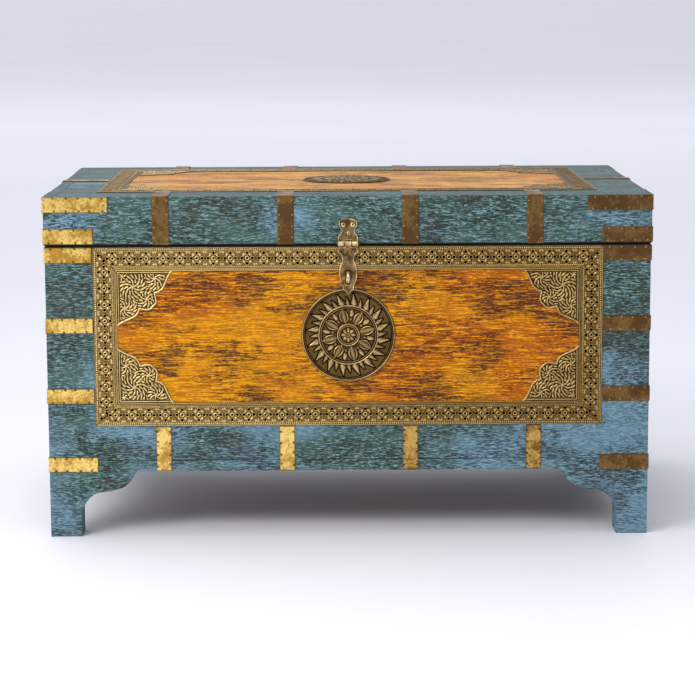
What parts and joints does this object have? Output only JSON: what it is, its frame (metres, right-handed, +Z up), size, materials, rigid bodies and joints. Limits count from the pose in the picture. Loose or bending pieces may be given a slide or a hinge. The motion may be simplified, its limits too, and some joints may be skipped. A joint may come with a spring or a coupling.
{
  "type": "storage chest",
  "caption": "Painted wooden chest on bracket feet with a hinged lid, brass corner bands and straps, embossed brass borders, round medallions and a swinging hasp.",
  "frame": {"origin": "on the floor, at the middle of the box in plan", "axes": "+X to the chest's right along its length, +Y from the hasp side to the hinge side, +Z up"},
  "size_m": [0.8126, 0.5322, 0.4636],
  "materials": {
    "blue_paint": "distressed satin paint on wood",
    "orange_paint": "distressed satin paint on wood",
    "bare_wood": "oiled plain wood",
    "bright_brass": "brushed, lacquered, lightly tarnished",
    "embossed_brass": "embossed sheet, dark in the recesses",
    "antique_brass": "antique relief, dark in the recesses",
    "hardware_brass": "antique, worn bright on its edges"
  },
  "bodies": {
    "box": {"back_board": "blue_paint", "box_band_left_1": "bright_brass", "box_band_left_2": "bright_brass", "box_band_left_3": "bright_brass", "box_band_left_4": "bright_brass", "box_band_right_1": "bright_brass", "box_band_right_2": "bright_brass", "box_band_right_3": "bright_brass", "box_band_right_4": "bright_brass", "box_front_strap_1": "bright_brass", "box_front_strap_2": "bright_brass", "box_front_strap_3": "bright_brass", "box_front_strap_4": "bright_brass", "box_left_end_strap": "bright_brass", "box_right_end_strap": "bright_brass", "floor_board": "bare_wood", "foot_block_back_left": "blue_paint", "foot_block_back_right": "blue_paint", "foot_block_front_left": "blue_paint", "foot_block_front_right": "blue_paint", "front_board": "blue_paint", "front_border": "embossed_brass", "front_medallion": "antique_brass", "front_panel": "orange_paint", "hasp_staple": "hardware_brass", "hinge_1_box_leaf": "hardware_brass", "hinge_1_pin": "hardware_brass", "hinge_2_box_leaf": "hardware_brass", "hinge_2_pin": "hardware_brass", "left_end_board": "blue_paint", "right_end_board": "blue_paint"},
    "lid": {"hasp_pin": "hardware_brass", "hasp_plate": "hardware_brass", "hinge_1_lid_leaf": "hardware_brass", "hinge_2_lid_leaf": "hardware_brass", "lid_back_rail": "blue_paint", "lid_back_strap_1": "bright_brass", "lid_back_strap_2": "bright_brass", "lid_back_strap_3": "bright_brass", "lid_back_strap_4": "bright_brass", "lid_band_left_1": "bright_brass", "lid_band_left_2": "bright_brass", "lid_band_right_1": "bright_brass", "lid_band_right_2": "bright_brass", "lid_front_rail": "blue_paint", "lid_front_strap_1": "bright_brass", "lid_front_strap_2": "bright_brass", "lid_front_strap_3": "bright_brass", "lid_front_strap_4": "bright_brass", "lid_left_end_strap": "bright_brass", "lid_left_rail": "blue_paint", "lid_right_end_strap": "bright_brass", "lid_right_rail": "blue_paint", "lid_top_board": "blue_paint", "top_border": "embossed_brass", "top_medallion": "antique_brass", "top_panel": "orange_paint"},
    "hasp_leaf": {"hasp_leaf": "hardware_brass"}
  },
  "joints": [
    {"name": "lid_hinge", "type": "hinge", "parent": "box", "child": "lid", "pos_m": [0, 0.2585, 0.3955], "axis": [-1, 0, 0], "range_deg": [0, 100]},
    {"name": "hasp_swing", "type": "hinge", "parent": "lid", "child": "hasp_leaf", "pos_m": [0, -0.2585, 0.3975], "axis": [-1, 0, 0], "range_deg": [0, 170]}
  ]
}
